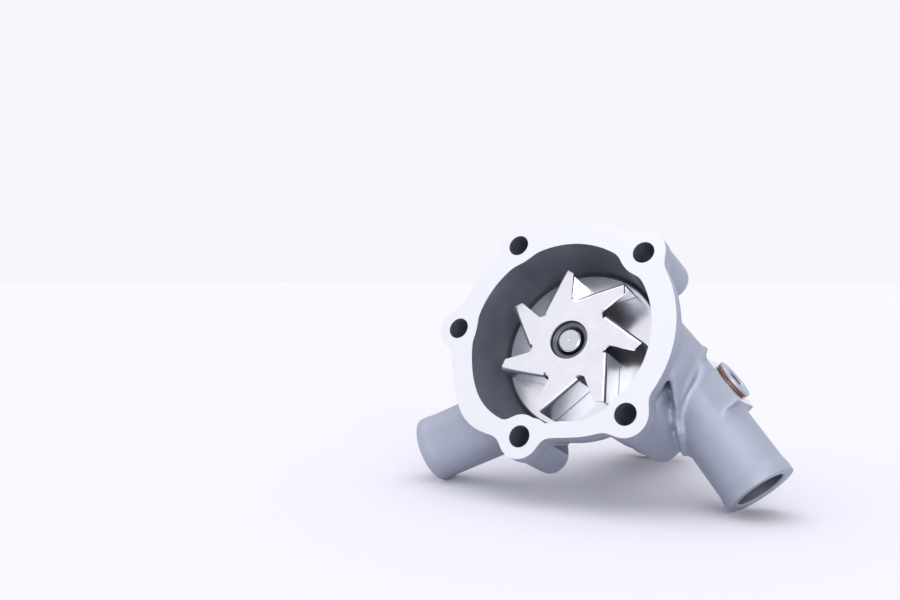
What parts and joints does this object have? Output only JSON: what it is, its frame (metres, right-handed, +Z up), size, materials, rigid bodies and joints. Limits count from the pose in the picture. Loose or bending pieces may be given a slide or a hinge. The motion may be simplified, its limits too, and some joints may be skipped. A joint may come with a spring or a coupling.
{
  "type": "engine water pump",
  "caption": "Engine water pump: cast housing with lobed mounting flange, open vane impeller on a sealed shaft bearing, pulley hub and two beaded hose stubs.",
  "frame": {"origin": "centre of the pump's bounding box in plan, on the floor plane it stands on", "axes": "+Z up; +X across the mounting flange, from one hose stub to the other; the shaft lies in the YZ plane, the mounting face looks toward -Y and 23.03 degrees up, the pulley hub toward +Y"},
  "size_m": [0.157, 0.141, 0.1118],
  "materials": {
    "cast_aluminium": "sand cast, matte, with a machined mounting face",
    "pressed_steel": "bright plated sheet",
    "bearing_steel": "ground",
    "hub_steel": "turned, oiled",
    "cage_nylon": "moulded",
    "nitrile_rubber": "matte",
    "seal_brass": "pressed",
    "spring_steel": "drawn",
    "seal_carbon": "lapped",
    "seal_ceramic": "lapped",
    "plug_steel": "zinc plated",
    "washer_copper": "annealed"
  },
  "bodies": {
    "housing": {"pump_housing": "cast_aluminium", "bearing_outer_race": "bearing_steel", "bearing_seal_front": "nitrile_rubber", "bearing_seal_rear": "nitrile_rubber", "seal_case": "seal_brass", "seal_spring": "spring_steel", "seal_bellows": "nitrile_rubber", "seal_carbon_ring": "seal_carbon", "port_plug": "plug_steel", "plug_washer": "washer_copper"},
    "rotor": {"pump_shaft": "bearing_steel", "impeller_hub": "hub_steel", "impeller_vane_plate": "pressed_steel", "impeller_back_disc": "pressed_steel", "pulley_hub": "hub_steel", "slinger_ring": "nitrile_rubber", "seat_rubber_cup": "nitrile_rubber", "seal_ceramic_seat": "seal_ceramic"},
    "front_ball_set": {"bearing_cage_front": "cage_nylon", "ball_front_1": "bearing_steel", "ball_front_2": "bearing_steel", "ball_front_3": "bearing_steel", "ball_front_4": "bearing_steel", "ball_front_5": "bearing_steel", "ball_front_6": "bearing_steel", "ball_front_7": "bearing_steel"},
    "rear_ball_set": {"bearing_cage_rear": "cage_nylon", "ball_rear_1": "bearing_steel", "ball_rear_2": "bearing_steel", "ball_rear_3": "bearing_steel", "ball_rear_4": "bearing_steel", "ball_rear_5": "bearing_steel", "ball_rear_6": "bearing_steel", "ball_rear_7": "bearing_steel"}
  },
  "joints": [
    {"name": "shaft_spin", "type": "hinge", "parent": "housing", "child": "rotor", "pos_m": [-0.00959, -0.04943, 0.06778], "axis": [0, 0.9203, -0.3912], "continuous": true},
    {"name": "front_cage_turn", "type": "hinge", "parent": "housing", "child": "front_ball_set", "pos_m": [-0.00959, -0.04943, 0.06778], "axis": [0, 0.9203, -0.3912], "continuous": true},
    {"name": "rear_cage_turn", "type": "hinge", "parent": "housing", "child": "rear_ball_set", "pos_m": [-0.00959, -0.04943, 0.06778], "axis": [0, 0.9203, -0.3912], "continuous": true}
  ],
  "couplings": [
    {"joint": "front_cage_turn", "follows": "shaft_spin", "ratio": 0.342},
    {"joint": "rear_cage_turn", "follows": "shaft_spin", "ratio": 0.342}
  ]
}
